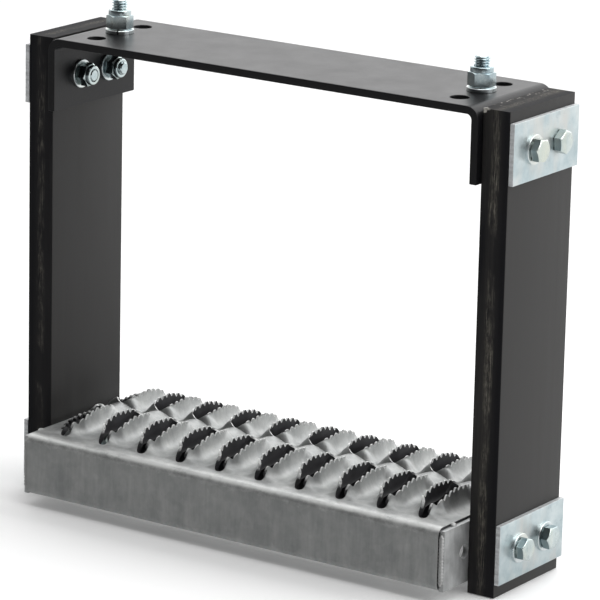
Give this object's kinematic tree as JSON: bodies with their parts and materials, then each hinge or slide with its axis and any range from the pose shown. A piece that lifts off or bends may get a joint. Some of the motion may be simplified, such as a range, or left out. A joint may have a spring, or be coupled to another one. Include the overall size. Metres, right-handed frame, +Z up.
{
  "type": "tailgate step",
  "caption": "Hanging tailgate step: a black folded channel bracket carries two flat rubber straps bolted with clamp plates to a galvanised grip-plank tread.",
  "frame": {"origin": "middle of the mounting bracket's top face", "axes": "+Z up, out of the bracket's top face; +X to the right along the step's length; +Y to the back"},
  "size_m": [0.3612, 0.127, 0.3086],
  "materials": {
    "bracket_powder_coat": "semi-gloss black powder coat",
    "strap_rubber": "matte charcoal fabric-reinforced belting",
    "zinc_plate": "pale blue zinc plating, satin",
    "zinc_bolt": "bright zinc plating",
    "zinc_washer": "bright zinc plating",
    "zinc_nut": "bright zinc plating",
    "insert_nylon": "translucent white nylon, matte",
    "tread_galvanised": "hot-dip galvanised, satin, lightly mottled",
    "end_plate_galvanised": "hot-dip galvanised, satin",
    "weld_bead": "galvanised weld, lumpy"
  },
  "bodies": {
    "tread": {"left_end_plate": "end_plate_galvanised", "left_end_welds": "weld_bead", "left_lower_bolts": "zinc_bolt", "left_lower_clamp_plate": "zinc_plate", "left_lower_head_washers": "zinc_washer", "left_lower_lock_nuts": "zinc_nut", "left_lower_nut_washers": "zinc_washer", "left_lower_nylon_inserts": "insert_nylon", "left_strap_foot": "strap_rubber", "right_end_plate": "end_plate_galvanised", "right_end_welds": "weld_bead", "tread_plank": "tread_galvanised"},
    "left_neck": {"left_strap_neck": "strap_rubber"},
    "left_span": {"left_strap_span": "strap_rubber"},
    "bracket": {"left_strap_top": "strap_rubber", "left_upper_bolts": "zinc_bolt", "left_upper_clamp_plate": "zinc_plate", "left_upper_head_washers": "zinc_washer", "left_upper_lock_nuts": "zinc_nut", "left_upper_nut_washers": "zinc_washer", "left_upper_nylon_inserts": "insert_nylon", "mounting_bolts": "zinc_bolt", "mounting_bracket": "bracket_powder_coat", "mounting_lock_washers": "zinc_washer", "mounting_nuts": "zinc_nut", "mounting_nylon_inserts": "insert_nylon", "right_strap_top": "strap_rubber", "right_upper_bolts": "zinc_bolt", "right_upper_clamp_plate": "zinc_plate", "right_upper_head_washers": "zinc_washer", "right_upper_lock_nuts": "zinc_nut", "right_upper_nut_washers": "zinc_washer", "right_upper_nylon_inserts": "insert_nylon"},
    "right_foot": {"right_lower_bolts": "zinc_bolt", "right_lower_clamp_plate": "zinc_plate", "right_lower_head_washers": "zinc_washer", "right_lower_lock_nuts": "zinc_nut", "right_lower_nut_washers": "zinc_washer", "right_lower_nylon_inserts": "insert_nylon", "right_strap_foot": "strap_rubber"},
    "right_neck": {"right_strap_neck": "strap_rubber"},
    "right_span": {"right_strap_span": "strap_rubber"}
  },
  "joints": [
    {"name": "left_fore_aft", "type": "hinge", "parent": "bracket", "child": "left_neck", "pos_m": [-0.1614, 0, -0.0583], "axis": [1, 0, 0], "range_deg": [-10, 10], "stiffness_Nm_per_rad": 90},
    {"name": "left_sway", "type": "hinge", "parent": "left_neck", "child": "left_span", "pos_m": [-0.1614, 0, -0.0813], "axis": [0, 1, 0], "range_deg": [-25, 25], "stiffness_Nm_per_rad": 40},
    {"name": "left_level", "type": "hinge", "parent": "left_span", "child": "tread", "pos_m": [-0.1614, 0, -0.222], "axis": [0, 1, 0], "range_deg": [-25, 25]},
    {"name": "right_fore_aft", "type": "hinge", "parent": "bracket", "child": "right_neck", "pos_m": [0.1614, 0, -0.0583], "axis": [1, 0, 0], "range_deg": [-10, 10]},
    {"name": "right_sway", "type": "hinge", "parent": "right_neck", "child": "right_span", "pos_m": [0.1614, 0, -0.0813], "axis": [0, 1, 0], "range_deg": [-25, 25]},
    {"name": "right_level", "type": "hinge", "parent": "right_span", "child": "right_foot", "pos_m": [0.1614, 0, -0.222], "axis": [0, 1, 0], "range_deg": [-25, 25]}
  ],
  "couplings": [
    {"joint": "right_fore_aft", "follows": "left_fore_aft", "ratio": 1},
    {"joint": "left_level", "follows": "left_sway", "ratio": -1},
    {"joint": "right_sway", "follows": "left_sway", "ratio": 1},
    {"joint": "right_level", "follows": "left_sway", "ratio": -1}
  ]
}
